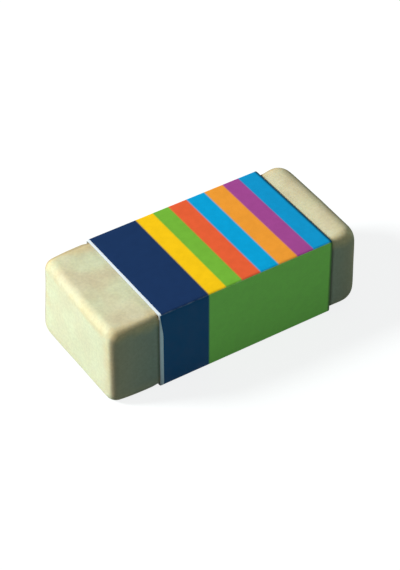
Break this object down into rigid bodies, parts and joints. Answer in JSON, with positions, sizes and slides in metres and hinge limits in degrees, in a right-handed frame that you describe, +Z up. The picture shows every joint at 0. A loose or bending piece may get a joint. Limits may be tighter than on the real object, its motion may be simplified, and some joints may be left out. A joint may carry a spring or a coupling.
{
  "type": "rubber eraser",
  "caption": "Small oblong rubber eraser with rounded ends, held in a printed folded card sleeve that slides along it.",
  "frame": {"origin": "under the middle of the block's length and the sleeve's width, on the surface that the sleeve stands on", "axes": "+X along the block from its bare front end to its back end, +Z up out of the striped panel, +Y to the back"},
  "size_m": [0.0406, 0.019, 0.013],
  "materials": {
    "rubber": "matte",
    "printed_card": "satin"
  },
  "bodies": {
    "block": {"eraser_block": "rubber"},
    "sleeve": {"card_sleeve": "printed_card"}
  },
  "joints": [
    {"name": "sleeve_slide", "type": "slide", "parent": "block", "child": "sleeve", "axis": [1, 0, 0], "range_m": [-0.0359, 0.033]}
  ]
}
